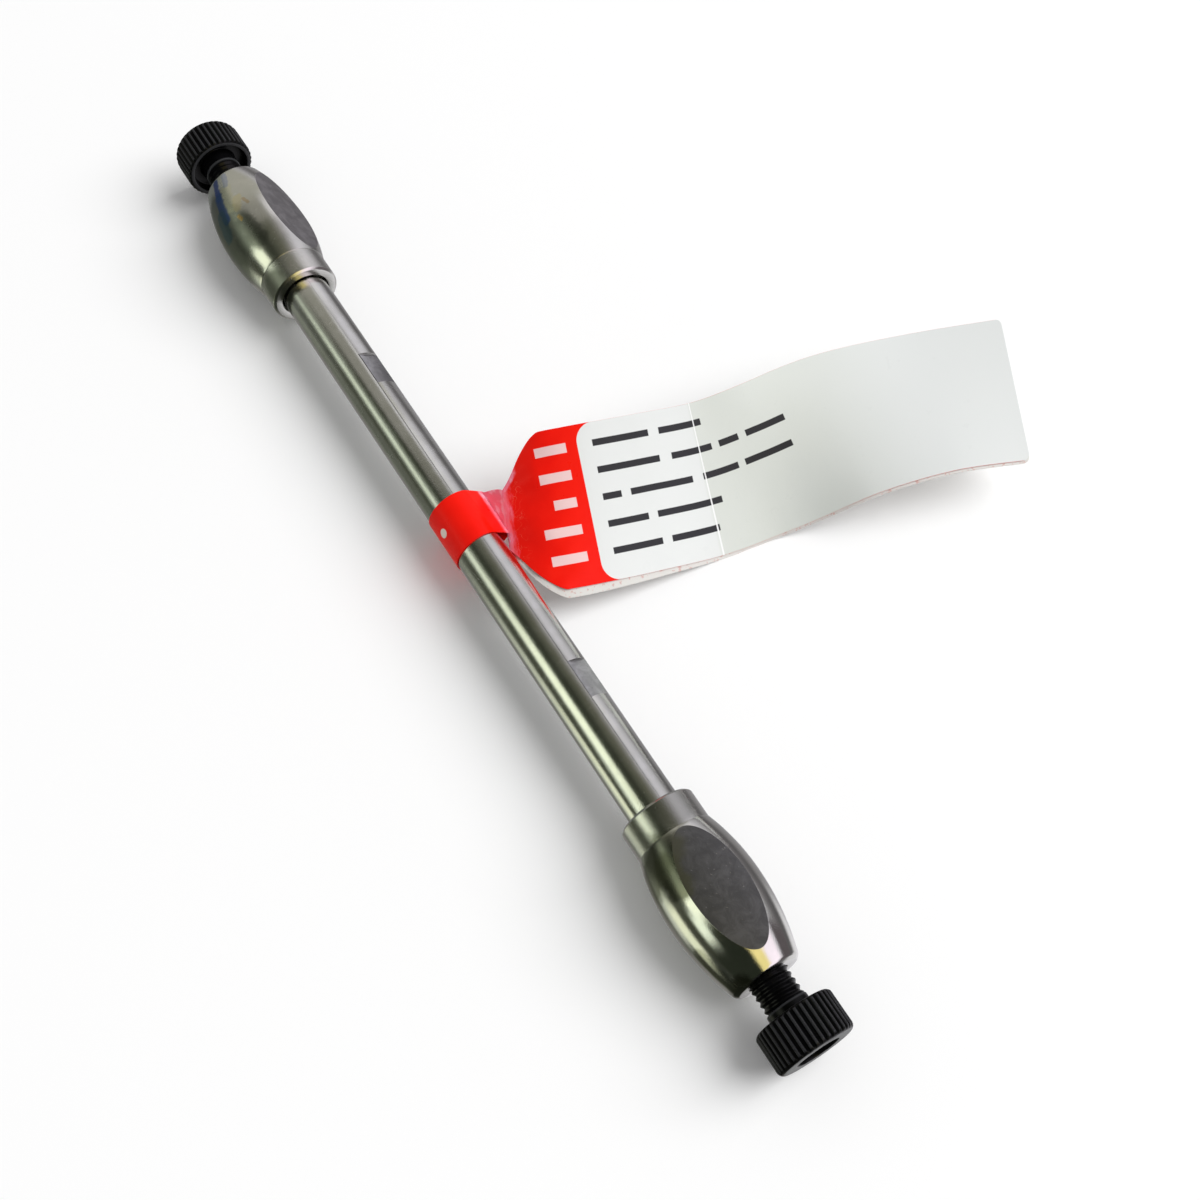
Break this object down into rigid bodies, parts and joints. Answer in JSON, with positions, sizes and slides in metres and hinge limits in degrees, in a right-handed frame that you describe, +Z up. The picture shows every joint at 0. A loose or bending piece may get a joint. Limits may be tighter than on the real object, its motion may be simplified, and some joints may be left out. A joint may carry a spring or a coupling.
{
  "type": "hplc column",
  "caption": "Steel chromatography column lying on its end fittings, with black screw plugs in its ports and a folded film tag looped round its tube.",
  "frame": {"origin": "on the tube's axis at the middle of its length, inside the tag's loop", "axes": "+X along the column from inlet to outlet, +Y towards the side where the tag's wing lies, +Z up, which is the normal of the outlet fitting's upper wrench flat"},
  "size_m": [0.1492, 0.0801, 0.0134],
  "materials": {
    "tube_steel": "fine turned stainless steel, near mirror",
    "fitting_steel": "satin turned stainless steel with milled flats",
    "frit_steel": "sintered steel",
    "bed_silica": "packed silica powder",
    "ring_polymer": "natural polymer",
    "plug_polymer": "moulded black polymer, satin gloss",
    "tag_film": "glossy printed film, red neck and white wing"
  },
  "bodies": {
    "column": {"column_tube": "tube_steel", "packed_bed": "bed_silica", "inlet_fitting": "fitting_steel", "outlet_fitting": "fitting_steel", "inlet_frit": "frit_steel", "outlet_frit": "frit_steel", "inlet_frit_ring": "ring_polymer", "outlet_frit_ring": "ring_polymer"},
    "inlet_plug": {"inlet_plug": "plug_polymer"},
    "outlet_plug": {"outlet_plug": "plug_polymer"},
    "tag": {"label_tag": "tag_film"}
  },
  "joints": [
    {"name": "inlet_plug_travel", "type": "slide", "parent": "column", "child": "inlet_plug", "axis": [-1, 0, 0], "range_m": [0, 0.0075]},
    {"name": "outlet_plug_travel", "type": "slide", "parent": "column", "child": "outlet_plug", "axis": [1, 0, 0], "range_m": [0, 0.0075]},
    {"name": "tag_swivel", "type": "hinge", "parent": "column", "child": "tag", "pos_m": [0, 0, 0], "axis": [1, 0, 0], "continuous": true}
  ]
}
